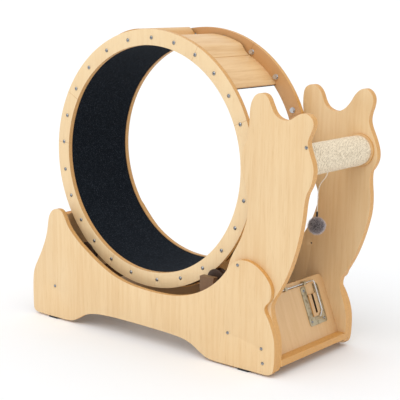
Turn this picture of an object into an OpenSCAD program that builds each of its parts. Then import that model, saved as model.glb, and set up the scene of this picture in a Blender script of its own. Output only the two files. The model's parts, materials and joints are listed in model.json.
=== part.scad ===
// Cat exercise wheel: a carpeted running wheel between two giraffe shaped side frames.
// Millimetres, +Z up, +X towards the giraffe heads, Y along the wheel's axle.
// The origin is on the floor under the middle of the outline.

/* [Wheel rings] */
// outer diameter of the two plywood rings
wheel_d = 780; // [600:10:1100]
// width of the whole wheel along its axle, ring face to ring face
wheel_w = 284; // [200:2:400]
// radial width of a ring
ring_w = 47; // [40:1:90]
// thickness of a ring
ring_t = 15; // [9:1:24]
// distance from the rim to the circle of bolts
bolt_inset = 25; // [20:1:35]
// bolts in the far ring
far_bolts = 20; // [8:1:36]
// shank of a near ring bolt
near_bolt_d = 6; // [4:1:8]
// shank of a far ring bolt
far_bolt_d = 8; // [5:1:10]

/* [Running track] */
// thickness of the bent plywood hoop that carries the track
hoop_t = 5; // [3:0.5:9]
// thickness of the carpet inside the hoop
carpet_t = 4; // [2:0.5:8]
// how far the carpet lies behind the inner edge of the rings
carpet_set_back = 1; // [0.5:0.5:6]
// clockwise angle from the top at which the hoop stops
gap_from = 49.6; // [40:0.1:60]
// angle that the hoop leaves open
gap_sweep = 27.7; // [10:0.1:60]
// clockwise angle from the top at which the outer slats start
slats_from = 29; // [10:1:40]
// bent slats round the hoop
slats = 10; // [6:1:16]
// thickness of a slat
slat_t = 4; // [2:0.5:6]
// how far a slat arches off the hoop
slat_rise = 40; // [10:1:45]
// rise of the flatter slat next to the opening
first_slat_rise = 16; // [5:1:40]
// length of the flat foot at each end of a slat
slat_foot = 9; // [4:1:16]
// clearance from the end of a slat to the ring beside it
slat_gap = 8; // [7.5:0.5:20]

/* [Side frames] */
// thickness of a base panel
base_t = 15; // [12:1:24]
// thickness of a giraffe panel
head_t = 20; // [12:1:28]
// how much wider than the wheel the circle is from which the side frames are drawn
frame_margin = 10; // [4:1:30]
// how far the axle lies under the middle of that circle
wheel_sag = 5; // [0:1:20]
// room between a ring and the giraffe panel beside it
side_gap = 27; // [18:1:60]
// thickness of a rubber foot
foot_h = 6; // [3:1:15]
// diameter of a rubber foot
foot_d = 46; // [20:1:60]

/* [Cross pieces] */
// width of a cross rail
rail_w = 30; // [20:1:60]
// height of a cross rail
rail_h = 50; // [30:1:80]
// width of the bottom batten under the heads
batten_w = 54; // [46:1:80]
// height of the bottom batten
batten_h = 20; // [15:1:40]
// how far the batten lies above the panels' lower edge
batten_lift = 22; // [5:1:40]
// thickness of the sloped end board under the heads
board_t = 20; // [12:1:30]
// length of that board up its slope
board_l = 184; // [180:1:260]
// lean of that board from upright
board_lean = 21.6; // [0:0.1:40]
// radius of its two top corners
board_corner = 22; // [5:1:40]
// thickness of the board at the low end of the base
tail_board_t = 15; // [9:1:20]

/* [Rollers] */
// angle of the rollers from the lowest point of the wheel
roller_angle = 39.5; // [25:0.5:42]
// diameter of a roller at the floor of its groove
roller_d = 52; // [30:1:80]
// how deep the groove is
groove_depth = 5; // [3:0.5:12]
// width of a roller
roller_w = 26; // [22:1:40]
// diameter of the roller axles
axle_d = 10; // [6:1:16]
// width of the wooden block that carries an axle end
block_w = 50; // [34:1:70]
// height of that block
block_h = 96; // [80:1:120]
// thickness of that block
block_t = 20; // [12:1:30]
// height of the block above its axle
block_rise = 16; // [10:1:30]
// how deep an axle end sits in its block
axle_bite = 14; // [6:1:18]
// outer diameter of the spacer sleeves on the axles
sleeve_d = 18; // [14:1:28]
// length of the short sleeve inside each roller
inner_sleeve_l = 10; // [5:1:30]

/* [Scratching post] */
// diameter of the wooden core
core_d = 80; // [50:1:110]
// thickness of the sisal cover
sisal_t = 4; // [2:0.5:8]
// diameter of the wooden collars
collar_d = 98; // [90:1:130]
// thickness of a collar
collar_t = 8; // [4:1:16]
// shank of the bolts through the heads
post_bolt_d = 8; // [6:1:10]

/* [Lever lock] */
// width of the steel latch frame
latch_w = 90; // [70:1:120]
// height of the latch frame up the slope
latch_h = 120; // [90:1:140]
// thickness of the latch frame
latch_t = 2; // [1:0.5:4]
// width of the frame's bars
latch_bar = 25; // [15:1:30]
// corner radius of the frame
latch_corner = 8; // [2:1:12]
// distance of the frame from the foot of the board
latch_rise = 42; // [30:1:60]
// distance of the frame from the middle of the board, along the axle
latch_side = 86; // [50:1:90]
// thickness of the wooden tongue in the frame
tongue_t = 5; // [3:0.5:8]
// width of the slot in the tongue
slot_w = 9; // [6:0.5:14]
// length of the slot
slot_l = 58; // [30:1:70]
// wire of the lock lever
lever_d = 5; // [3:0.5:8]
// length of the lever's pivot leg
lever_pivot_l = 175; // [120:1:220]
// length of the lever's straight arm
lever_arm_l = 84; // [60:1:90]
// bend radius of the wire
lever_bend = 8; // [6:1:12]
// length of the hook at its end
lever_hook_l = 24; // [10:1:40]
// turn of the hook
lever_hook = 45; // [20:1:80]

/* [Toy] */
// diameter of the fur ball
ball_d = 52; // [30:1:70]
// diameter of the string
string_d = 2; // [1.5:0.5:3]
// length of the crimp sleeve above the ball
crimp_l = 14; // [8:1:20]
// diameter of the crimp sleeve
crimp_d = 6; // [4:0.5:10]
// distance of the toy from the middle, towards the near side
toy_side = 42; // [0:1:100]

/* [Hidden] */
$fn = 96;
wheel_r = wheel_d / 2;
ring_ir = wheel_r - ring_w;
bolt_r = wheel_r - bolt_inset;
carpet_ir = ring_ir + carpet_set_back;
hoop_ir = carpet_ir + carpet_t;
hoop_or = hoop_ir + hoop_t;
track_w = wheel_w - 2 * ring_t;
slat_w = track_w - 2 * slat_gap;
slat_sweep = (360 - gap_from - gap_sweep + slats_from) / slats;
slat_steps = 32;
// the part of a slat that bends down at each end, and the height at which that bend starts
slat_bend_share = 0.2;
slat_shoulder_share = 0.82;
// how thick a slat still is at its very end
slat_toe_share = 0.25;

// clearances
fit = 0.1;        // between a shank and its hole
run_fit = 0.05;   // radial, roller on axle
gap = 0.3;        // between parts that move past each other
cut = 1;          // overrun of every cut

// faces of the side frames along the axle
head_in = wheel_w / 2 + side_gap;
head_out = head_in + head_t;
base_out = head_out + base_t;

// the outline reaches further to the head side than to the tail side
tail_reach_share = 1.15;
head_reach_share = 1.535;
frame_r = wheel_r + frame_margin;
wheel_x = -(head_reach_share - tail_reach_share) / 2 * frame_r;
drop_share = 1.38;
axle_z = foot_h + drop_share * frame_r;

// base panel outline from the middle of the frame's circle, in shares of its radius
base_tail_shares = [[-1.15, -1.1], [-1.15, -1.33], [-1.14, -1.365], [-1.1, -1.38], [-0.9, -1.38]];
near_arch_shares = [
  [-0.7, -1.38], [-0.62, -1.34], [-0.54, -1.29], [-0.42, -1.26], [-0.2, -1.25],
  [0.15, -1.255], [0.45, -1.265], [0.56, -1.295], [0.64, -1.345], [0.72, -1.38]];
far_arch_shares = [
  [-0.7, -1.38], [-0.62, -1.36], [-0.54, -1.325], [-0.42, -1.31], [-0.2, -1.305],
  [0.15, -1.305], [0.45, -1.31], [0.56, -1.325], [0.64, -1.36], [0.72, -1.38]];
base_lobe_shares = [
  [0.9, -1.38], [1.15, -1.38], [1.26, -1.38], [1.295, -1.34], [1.3, -1.18],
  [1.285, -1.08], [1.24, -0.975], [1.2, -0.92], [1.205, -0.88], [1.25, -0.84],
  [1.26, -0.755], [1.225, -0.69], [1.16, -0.63], [1.08, -0.59], [1.0, -0.585]];
// the near cradle under the wheel, from the heads to the tail, and its hump
near_cradle_shares = [
  [0.945, -0.605], [0.9, -0.64], [0.865, -0.69], [0.83, -0.735], [0.785, -0.78],
  [0.725, -0.83], [0.635, -0.885], [0.54, -0.925], [0.445, -0.95], [0.35, -0.965],
  [0.25, -0.97], [0.15, -0.97], [0.05, -0.965], [-0.05, -0.955], [-0.155, -0.935],
  [-0.265, -0.9], [-0.37, -0.85], [-0.45, -0.805], [-0.52, -0.76], [-0.59, -0.715],
  [-0.645, -0.67], [-0.69, -0.63], [-0.725, -0.59], [-0.745, -0.555], [-0.765, -0.52],
  [-0.785, -0.485], [-0.81, -0.47], [-0.845, -0.465], [-0.885, -0.475], [-0.92, -0.5],
  [-0.945, -0.545], [-0.955, -0.6], [-0.97, -0.68], [-1.0, -0.765], [-1.06, -0.885],
  [-1.13, -1.0]];
// the far cradle is one arc, and its hump stands lower
far_hump_shares = [
  [-0.835, -0.545], [-0.875, -0.525], [-0.92, -0.53], [-0.955, -0.57], [-0.985, -0.68],
  [-1.06, -0.865], [-1.13, -1.0]];
cradle_share = 1.045;
cradle_mid_shares = [0.03, 0.05];
cradle_from = -50;
cradle_to = 47;

// giraffe outline, near side: head, then the neck down its outer edge, then up its inner edge
near_head_shares = [
  [1.0, 0.265], [1.01, 0.36], [1.01, 0.45], [1.025, 0.515], [1.06, 0.56], [1.11, 0.57],
  [1.155, 0.55], [1.185, 0.485], [1.215, 0.43], [1.27, 0.4], [1.335, 0.4], [1.39, 0.44],
  [1.45, 0.46], [1.505, 0.435], [1.525, 0.385], [1.495, 0.315], [1.475, 0.265],
  [1.5, 0.195], [1.53, 0.125], [1.535, 0.055], [1.515, -0.02], [1.475, -0.09]];
far_head_shares = [
  [0.87, 0.28], [0.845, 0.39], [0.845, 0.49], [0.86, 0.54], [0.905, 0.565], [0.955, 0.56],
  [1.0, 0.515], [1.025, 0.445], [1.06, 0.4], [1.13, 0.375], [1.195, 0.395], [1.245, 0.445],
  [1.285, 0.515], [1.335, 0.555], [1.385, 0.555], [1.43, 0.51], [1.435, 0.45],
  [1.405, 0.36], [1.41, 0.3], [1.455, 0.21], [1.485, 0.13], [1.49, 0.06], [1.465, 0.0],
  [1.43, -0.045]];
neck_out_shares = [
  [1.46, -0.28], [1.42, -0.47], [1.36, -0.645], [1.29, -0.78], [1.225, -0.875],
  [1.24, -0.97], [1.285, -1.08], [1.3, -1.18], [1.295, -1.34], [1.26, -1.37]];
neck_in_shares = [
  [0.8, -1.37], [0.74, -1.33], [0.74, -1.1], [0.78, -0.86], [0.85, -0.675], [0.875, -0.6],
  [0.905, -0.545], [0.955, -0.46], [0.99, -0.37], [1.02, -0.26]];
near_throat_shares = [[1.01, -0.12], [0.965, -0.01], [0.945, 0.08], [0.96, 0.18]];
far_throat_shares = [[0.96, -0.12], [0.91, -0.01], [0.88, 0.08], [0.88, 0.18]];

// rails, feet and screws in the same shares
rail_shares = [[-0.885, -1.115], [0.89, -1.14]];
foot_x_shares = [-0.92, 1.03];
board_foot_share = 1.2325;
batten_front_share = 1.3;
neck_screw_shares = [0.965, -0.63];
head_screw_shares = [1.47, 0.235];
tail_board_shares = [[-1.135, -1.13], [-0.905, -0.52]];
post_shares = [1.34, 0.115];

// near ring bolts, clockwise from the top in shares of a full turn
near_bolt_shares = [
  0.004, 0.042, 0.079, 0.116, 0.151, 0.189, 0.237, 0.284, 0.322, 0.36, 0.401, 0.443, 0.485,
  0.532, 0.571, 0.61, 0.647, 0.685, 0.723, 0.762, 0.8, 0.842, 0.881, 0.922, 0.963];
far_bolt_angle = 28.9;

// screws that hold the cross pieces
screw_d = 5;
screw_head_d = 10;
screw_head_h = 3;
screw_bite = 25;
nut_h = 5;
flange_nut_h = 7;
washer_t = 1.2;

batten_top = (batten_h + batten_lift + foot_h) - axle_z;
batten_x = batten_front_share * frame_r - batten_w;
board_foot_x = board_foot_share * frame_r;
lever_up = latch_rise + latch_h + 2 * lever_d;
bend_d = lever_d + 2 * fit;
lever_off = tongue_t + gap + bend_d / 2;
post_l = 2 * (head_in - collar_t);
sisal_r = core_d / 2 + fit + sisal_t;
roller_at = wheel_r + gap + roller_d / 2;
roller_y = wheel_w / 2 - ring_t / 2;
groove_w = ring_t + 2 * gap + gap;

// string route from the post's axis, across and up
string_route = [[29.5, -35], [26, -45], [18, -57], [9, -68], [3, -82], [0.5, -98], [0, -115],
  [0, -164]];
string_sides = 8;
string_steps = 4;
ball_top = string_route[len(string_route) - 1].y;
ball_z = ball_top - ball_d / 2;

// corner cutting: each pass rounds a closed outline a little more
function round_once(p) = [for (i = [0:len(p) - 1]) let (q = p[(i + 1) % len(p)])
  each [p[i] * 0.75 + q * 0.25, p[i] * 0.25 + q * 0.75]];
function rounded(p) = round_once(round_once(p));
function ring_point(r, a) = [r * cos(a), r * sin(a)];
function sized(shares) = [for (s = shares) s * frame_r];

// the middle of the frame's circle, and the middle of the wheel under it
module at_frame() translate([wheel_x, 0, axle_z]) children();
module at_wheel() translate([wheel_x, 0, axle_z - wheel_sag]) children();
// an outline in X and Z, thick along Y
module plate(from, t) translate([0, from + t, 0]) rotate([90, 0, 0]) linear_extrude(t) children();
// a cylinder along Y
module bar(from, l, d) translate([0, from, 0]) rotate([-90, 0, 0]) cylinder(h = l, d = d);
module shift_xz(p) translate([p.x, 0, p.y]) children();
// both sides of the frame
module both_sides() { children(); mirror([0, 1, 0]) children(); }

// places of the screws through the panels
screw_rail_points = sized(rail_shares);
board_screw_point = [board_foot_x - board_t * 0.95, batten_top + board_t * 1.6];
batten_screw_point = [batten_x + batten_w / 4, batten_top - batten_h / 2];
inner_screw_points = [board_screw_point, batten_screw_point];
neck_screw_point = neck_screw_shares * frame_r;
head_screw_point = head_screw_shares * frame_r;

module panel_screw_holes() {
  for (p = concat(screw_rail_points, inner_screw_points, [neck_screw_point]))
    shift_xz(p) bar(-base_out - cut, 2 * (base_out + cut), screw_d + 2 * fit);
}

far_cradle = [for (i = [0:14]) let (a = cradle_to + (cradle_from - cradle_to) * i / 14)
  cradle_mid_shares * frame_r + cradle_share * frame_r * [sin(a), -cos(a)]];

module base_panel(arch, cradle) {
  difference() {
    plate(head_out, base_t)
      polygon(rounded(concat(sized(base_tail_shares), sized(arch), sized(base_lobe_shares), cradle)));
    panel_screw_holes();
  }
}

module near_base_panel() color("BurlyWood") at_frame() mirror([0, 1, 0])
  base_panel(near_arch_shares, sized(near_cradle_shares));
module far_base_panel() color("BurlyWood") at_frame()
  base_panel(far_arch_shares, concat(far_cradle, sized(far_hump_shares)));

// the post's bolt goes through the far head, and its dowel ends inside the near one
module head_panel(outline, post_bite, screws) {
  difference() {
    plate(head_in, head_t) polygon(rounded(sized(outline)));
    for (p = concat([screw_rail_points[1]], inner_screw_points, screws))
      shift_xz(p) bar(head_in - cut, head_t + 2 * cut, screw_d + 2 * fit);
    shift_xz(post_shares * frame_r) bar(head_in - cut, post_bite + cut, post_bolt_d + 2 * fit);
  }
}

module near_head_panel() color("BurlyWood") at_frame() mirror([0, 1, 0])
  head_panel(concat(near_head_shares, neck_out_shares, neck_in_shares, near_throat_shares),
    head_t * dowel_share, [neck_screw_point, head_screw_point]);
module far_head_panel() color("BurlyWood") at_frame()
  head_panel(concat(far_head_shares, neck_out_shares, neck_in_shares, far_throat_shares),
    head_t + cut, [neck_screw_point]);

// board across the low end, lying along the slope of the base panels
module tail_board() {
  a = tail_board_shares[0] * frame_r;
  b = tail_board_shares[1] * frame_r;
  n = [(b - a).y, -(b - a).x] / norm(b - a) * tail_board_t;
  color("BurlyWood") at_frame()
    plate(-head_out, 2 * head_out) polygon([a, a + n, b + n, b]);
}

// frame of the sloped end board: X out of its face, Y along the axle, Z up its slope
module on_board() at_frame() translate([board_foot_x, 0, batten_top]) rotate([0, -board_lean, 0])
  children();

module board_outline() {
  hull() {
    translate([-head_in, -board_t]) square([2 * head_in, board_t + board_corner]);
    for (s = [-1, 1]) translate([s * (head_in - board_corner), board_l - board_corner])
      circle(r = board_corner);
  }
}

module end_board() color("BurlyWood") difference() {
  on_board() difference() {
    translate([-board_t, 0, 0]) rotate([90, 0, 90]) linear_extrude(board_t) board_outline();
    // slot behind the tongue
    translate([-board_t - cut, latch_side - slot_w / 2, latch_rise + latch_bar + slot_w])
      cube([board_t + 2 * cut, slot_w, slot_l]);
    // groove under the lever's pivot leg
    translate([-board_t / 2, -lever_pivot_l / 2, lever_up - lever_d])
      cube([board_t, lever_pivot_l, lever_d * 0.8]);
  }
  at_frame() translate([batten_x - board_t, -head_in - cut, batten_top - rail_h])
    cube([2 * batten_w + board_t, 2 * (head_in + cut), rail_h]);
  at_frame() shift_xz(board_screw_point) both_sides()
    bar(head_in - screw_bite, screw_bite + cut, screw_d + 2 * fit);
}

module bottom_batten() color("BurlyWood") at_frame() difference() {
  translate([batten_x, -head_in, batten_top - batten_h])
    cube([batten_w, 2 * head_in, batten_h]);
  shift_xz(batten_screw_point) both_sides()
    bar(head_in - screw_bite, screw_bite + cut, screw_d + 2 * fit);
}

module cross_rail(p, reach) color("BurlyWood") at_frame() difference() {
  shift_xz(p) translate([-rail_w / 2, -reach, -rail_h / 2]) cube([rail_w, 2 * reach, rail_h]);
  shift_xz(p) both_sides() bar(reach - screw_bite, screw_bite + cut, screw_d + 2 * fit);
}
module tail_cross_rail() cross_rail(screw_rail_points[0], head_out);
module head_cross_rail() cross_rail(screw_rail_points[1], head_in);

module rubber_feet() color([0.08, 0.08, 0.08]) translate([wheel_x, 0, 0])
  for (s = foot_x_shares, y = [-1, 1])
    translate([s * frame_r, y * (head_out - fit), 0]) difference() {
      cylinder(h = foot_h, d = foot_d);
      translate([-foot_d, y > 0 ? base_t : -base_t - foot_d, -cut])
        cube([2 * foot_d, foot_d, foot_h + 2 * cut]);
    }

module panel_screw(l) {
  bar(base_out - l, l, screw_d);
  translate([0, base_out, 0]) rotate([-90, 0, 0])
    cylinder(h = screw_head_h, d1 = screw_head_d, d2 = screw_head_d * 0.6);
}
module panel_screws() color("Silver") at_frame() {
  both_sides() frame_screws();
  mirror([0, 1, 0]) shift_xz(head_screw_point) translate([0, -base_t, 0]) panel_screw(head_t);
}
module frame_screws() {
  shift_xz(screw_rail_points[0]) panel_screw(base_t + screw_bite - cut);
  for (p = concat([screw_rail_points[1]], inner_screw_points))
    shift_xz(p) panel_screw(base_t + head_t + screw_bite - cut);
  shift_xz(neck_screw_point) panel_screw(base_t + head_t);
}

module at_roller(s) at_wheel() shift_xz(ring_point(roller_at, -90 + s * roller_angle)) children();
axle_reach = head_out - block_t + axle_bite;
module roller_axle(s) color("Silver") at_roller(s) bar(-axle_reach, 2 * axle_reach, axle_d);
module tail_axle() roller_axle(-1);
module head_axle() roller_axle(1);

// wooden blocks on the base panels, one at each axle end
module axle_blocks() color("BurlyWood") for (s = [-1, 1]) at_roller(s) both_sides() difference() {
  translate([-block_w / 2, head_out - block_t, block_rise - block_h])
    cube([block_w, block_t, block_h]);
  bar(head_out - block_t - cut, axle_bite + cut + fit, axle_d + 2 * fit);
}

module sleeve(from, l) difference() {
  bar(from, l, sleeve_d);
  bar(from - cut, l + 2 * cut, axle_d + 2 * fit);
}
module axle_sleeves() color("DimGray") for (s = [-1, 1]) at_roller(s) both_sides() {
  outer = roller_y + roller_w / 2 + gap;
  sleeve(outer, head_out - block_t - outer);
  sleeve(roller_y - roller_w / 2 - gap - inner_sleeve_l, inner_sleeve_l);
}

// a roller with a groove that keeps its ring in line
module roller(s, side) {
  r0 = axle_d / 2 + run_fit;
  r1 = roller_d / 2;
  r2 = r1 + groove_depth;
  w = roller_w / 2;
  g = groove_w / 2;
  color("DarkSlateGray") at_roller(s) translate([0, side * roller_y, 0]) rotate([90, 0, 0])
    rotate_extrude() polygon([[r0, -w], [r2 - groove_depth / 5, -w], [r2, -w + groove_depth / 5],
        [r2, -g - groove_depth / 4], [r1, -g], [r1, g], [r2, g + groove_depth / 4],
        [r2, w - groove_depth / 5], [r2 - groove_depth / 5, w], [r0, w]]);
}
module tail_near_roller() roller(-1, -1);
module tail_far_roller() roller(-1, 1);
module head_near_roller() roller(1, -1);
module head_far_roller() roller(1, 1);

module at_post() at_frame() shift_xz(post_shares * frame_r) children();
post_screw_l = head_t + collar_t + screw_bite * 2;
dowel_share = 0.7;
module post_core() color("BurlyWood") at_post() difference() {
  bar(-post_l / 2, post_l, core_d);
  both_sides() bar(post_l / 2 - 2 * screw_bite, 2 * screw_bite + cut, post_bolt_d + 2 * fit);
}
module post_collars() color("BurlyWood") at_post() both_sides() difference() {
  bar(head_in - collar_t, collar_t, collar_d);
  bar(head_in - collar_t - cut, collar_t + 2 * cut, post_bolt_d + 2 * fit);
}
module sisal_cover() color("Wheat") at_post() difference() {
  bar(-post_l / 2, post_l, 2 * sisal_r);
  bar(-post_l / 2 - cut, post_l + 2 * cut, core_d + 2 * fit);
}
module post_bolts() color("Silver") at_post() {
  bar(head_out - post_screw_l + cut, post_screw_l - cut, post_bolt_d);
  translate([0, head_out, 0]) rotate([-90, 0, 0])
    cylinder(h = screw_head_h, d1 = post_bolt_d * 1.6, d2 = post_bolt_d);
  mirror([0, 1, 0]) bar(head_out - post_screw_l + cut,
    post_screw_l - cut - head_t * (1 - dowel_share) - fit, post_bolt_d);
}

module latch_frame() color("Silver") on_board() difference() {
  translate([0, latch_side, latch_rise]) rotate([90, 0, 90]) linear_extrude(latch_t)
    difference() {
      hull() for (x = [-1, 1], y = [0, 1])
        translate([x * (latch_w / 2 - latch_corner),
          latch_corner + y * (latch_h - 2 * latch_corner)]) circle(r = latch_corner);
      translate([-latch_w / 2 + latch_bar, latch_bar])
        square([latch_w - 2 * latch_bar, latch_h]);
    }
  for (p = latch_screw_points) translate([-cut, p.x, p.y]) rotate([0, 90, 0])
    cylinder(h = latch_t + 2 * cut, d = screw_d * 0.8 + 2 * fit);
}
latch_screw_points = [for (x = [-1, 1], y = [0, 1])
  [latch_side + x * (latch_w / 2 - latch_bar / 2),
   latch_rise + latch_bar / 2 + y * (latch_h - latch_bar)]];

module latch_tongue() color("BurlyWood") on_board() difference() {
  translate([0, latch_side - latch_w / 2 + latch_bar + fit, latch_rise + latch_bar + fit])
    cube([tongue_t, latch_w - 2 * (latch_bar + fit), slot_w + slot_l]);
  translate([-cut, latch_side - slot_w / 2, latch_rise + latch_bar + slot_w])
    cube([tongue_t + 2 * cut, slot_w, slot_l + slot_w]);
}

module latch_screws() color("Silver") on_board()
  for (p = latch_screw_points) translate([latch_t, p.x, p.y]) rotate([0, 90, 0])
    cylinder(h = latch_t, d1 = screw_d * 1.7, d2 = screw_d);

// wire lever: a pivot leg along the axle, an arm down the frame and a hooked tip
lever_corner = latch_side + latch_w / 4;
module lock_lever() color("Gainsboro") on_board() translate([lever_off, 0, lever_up]) {
  bar(lever_corner - lever_pivot_l, lever_pivot_l - lever_bend + fit, lever_d);
  translate([0, lever_corner - lever_bend, -lever_bend]) {
    rotate([90, 0, 90]) rotate_extrude(angle = 90) translate([lever_bend, 0]) circle(d = bend_d);
    translate([0, lever_bend, -lever_arm_l]) {
      cylinder(h = lever_arm_l + fit, d = lever_d);
      sphere(d = bend_d);
      rotate([180 - lever_hook, 0, 0]) cylinder(h = lever_hook_l, d = lever_d);
    }
  }
}

keeper_points_share = [0.3, 0.85];
module lever_keepers() color("Silver") on_board() for (s = keeper_points_share)
  translate([0, lever_corner - s * lever_pivot_l, lever_up]) difference() {
    translate([0, -lever_d, -lever_d * 1.2]) cube([lever_off + lever_d, 2 * lever_d, lever_d * 2.4]);
    translate([lever_off, 0, 0]) bar(-2 * lever_d, 4 * lever_d, lever_d + 2 * gap);
  }

// one ring with its bolt holes
module ring(from, d, angles) difference() {
  bar(from, ring_t, 2 * wheel_r);
  bar(from - cut, ring_t + 2 * cut, 2 * ring_ir);
  on_bolt_circle(angles) bar(from - cut, ring_t + 2 * cut, d + 2 * fit);
}
near_angles = [for (s = near_bolt_shares) 360 * s];
far_angles = [for (i = [0:far_bolts - 1]) far_bolt_angle + i * 360 / far_bolts];
module near_ring() color("Tan") at_wheel() ring(-wheel_w / 2, near_bolt_d, near_angles);
module far_ring() color("Tan") at_wheel() ring(wheel_w / 2 - ring_t, far_bolt_d, far_angles);

// bent plywood hoop and the carpet in it
module hoop(r0, r1, w) at_wheel() translate([0, w / 2, 0]) rotate([90, 0, 0])
  rotate([0, 0, 90 - gap_from]) rotate_extrude(angle = 360 - gap_sweep, $fn = 180)
    translate([r0, 0]) square([r1 - r0, w]);
module track_hoop() color("Peru") hoop(hoop_ir, hoop_or, track_w);
module carpet_liner() color([0.12, 0.14, 0.18]) hoop(carpet_ir, hoop_ir, track_w);

// a slat arches over its middle, bends down smoothly and runs out thin on the hoop at both ends
foot_turn = slat_foot / hoop_or * 180 / PI;
gap_turn = gap / hoop_or * 180 / PI;
function bend_down(t) = (1 - cos(180 * min(min(t, 1 - t) / slat_bend_share, 1))) / 2;
function arch_height(t) = bend_down(t) * (slat_shoulder_share + (1 - slat_shoulder_share) * sin(180 * t));
function slat_points(r, end_r, from, rise) = [
  ring_point(end_r, from + gap_turn),
  for (i = [0:slat_steps]) let (t = i / slat_steps)
    ring_point(r + rise * arch_height(t), from + foot_turn + (slat_sweep - 2 * foot_turn) * t),
  ring_point(end_r, from + slat_sweep - gap_turn)];
module slat(from, rise) {
  foot_r = hoop_or + fit;
  outer = slat_points(foot_r + slat_t, foot_r + slat_t * slat_toe_share, from, rise);
  inner = slat_points(foot_r, foot_r, from, rise);
  plate(-slat_w / 2, slat_w)
    polygon(concat(outer, [for (i = [len(inner) - 1:-1:0]) inner[i]]));
}
module track_slats() color("BurlyWood") at_wheel() for (i = [0:slats - 1])
  slat(90 - slats_from + i * slat_sweep, i == 0 ? first_slat_rise : slat_rise);

// button head bolt, its head on the outer face of a ring
module ring_bolt(d, nut) {
  bar(-nut - ring_t - fit, ring_t + nut + fit, d);
  rotate([-90, 0, 0]) difference() {
    union() {
      cylinder(h = d * 0.2, d = d * 1.8);
      translate([0, 0, d * 0.2]) cylinder(h = d * 0.35, d1 = d * 1.8, d2 = d);
    }
    translate([0, 0, d * 0.25]) cylinder(h = d, d = d * 0.6, $fn = 6);
  }
}
module on_bolt_circle(angles) for (a = angles) shift_xz(ring_point(bolt_r, 90 - a)) children();
module near_ring_bolts() color("Silver") at_wheel() mirror([0, 1, 0])
  on_bolt_circle(near_angles) translate([0, wheel_w / 2, 0]) ring_bolt(near_bolt_d, nut_h);
module far_ring_bolts() color("Silver") at_wheel() on_bolt_circle(far_angles)
  translate([0, wheel_w / 2, 0]) ring_bolt(far_bolt_d, flange_nut_h);

module nut(d, h) rotate([90, 0, 0]) difference() {
  union() {
    cylinder(h = washer_t, d = d * 2.1);
    cylinder(h = h, d = d * 1.8, $fn = 6);
  }
  translate([0, 0, -cut]) cylinder(h = h + 2 * cut, d = d + 2 * fit);
}
module near_ring_nuts() color("Silver") at_wheel() mirror([0, 1, 0])
  on_bolt_circle(near_angles) translate([0, wheel_w / 2 - ring_t, 0]) nut(near_bolt_d, nut_h);
module far_ring_nuts() color("Silver") at_wheel() on_bolt_circle(far_angles)
  translate([0, wheel_w / 2 - ring_t, 0]) nut(far_bolt_d, flange_nut_h);

// the string is one round tube along a smooth curve through its route
function curve_at(p, i, t) = let (a = p[max(i - 1, 0)], b = p[i], c = p[i + 1],
  d = p[min(i + 2, len(p) - 1)])
  0.5 * ((2 * b) + (c - a) * t + (2 * a - 5 * b + 4 * c - d) * t * t
  + (3 * b - a - 3 * c + d) * t * t * t);
string_line = [for (i = [0:len(string_route) - 2], k = [0:string_steps - 1])
  curve_at(string_route, i, k / string_steps), string_route[len(string_route) - 1]];
module toy_string() {
  n = len(string_line);
  m = string_sides;
  points = [for (i = [0:n - 1]) let (p = string_line[i],
    q = string_line[min(i + 1, n - 1)] - string_line[max(i - 1, 0)],
    u = [-q.y, q.x] / norm(q)) for (k = [0:m - 1]) let (a = 360 * k / m)
    [p.x + u.x * cos(a) * string_d / 2, sin(a) * string_d / 2, p.y + u.y * cos(a) * string_d / 2]];
  sides = [for (i = [0:n - 2], k = [0:m - 1])
    [i * m + k, i * m + (k + 1) % m, (i + 1) * m + (k + 1) % m, (i + 1) * m + k]];
  caps = [[for (k = [m - 1:-1:0]) k], [for (k = [0:m - 1]) (n - 1) * m + k]];
  color("Gainsboro") at_post() translate([0, -toy_side, 0])
    polyhedron(points, concat(sides, caps));
}
module toy_crimp() color([0.08, 0.08, 0.08]) at_post()
  translate([0, -toy_side, ball_top]) difference() {
    cylinder(h = crimp_l, d = crimp_d);
    translate([0, 0, -cut]) cylinder(h = crimp_l + 2 * cut, d = string_d + 2 * fit);
  }
module fur_ball() color("DimGray") at_post() translate([0, -toy_side, ball_z])
  sphere(d = ball_d);

near_base_panel();
far_base_panel();
near_head_panel();
far_head_panel();
tail_board();
end_board();
bottom_batten();
tail_cross_rail();
head_cross_rail();
rubber_feet();
panel_screws();
tail_axle();
head_axle();
axle_blocks();
axle_sleeves();
post_core();
post_collars();
sisal_cover();
post_bolts();
latch_frame();
latch_tongue();
latch_screws();
lever_keepers();
lock_lever();
near_ring();
far_ring();
track_hoop();
carpet_liner();
track_slats();
near_ring_bolts();
far_ring_bolts();
near_ring_nuts();
far_ring_nuts();
tail_near_roller();
tail_far_roller();
head_near_roller();
head_far_roller();
toy_string();
toy_crimp();
fur_ball();
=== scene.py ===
"""Finish and studio for the cat exercise wheel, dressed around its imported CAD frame.

Metres, +Z up, +X towards the two heads, Y along the wheel's axle, near side at -Y.
"""

import json
import logging
import math
import random
from dataclasses import dataclass, field
from enum import Enum

import bmesh
import bpy
from mathutils import Matrix, Vector

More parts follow.
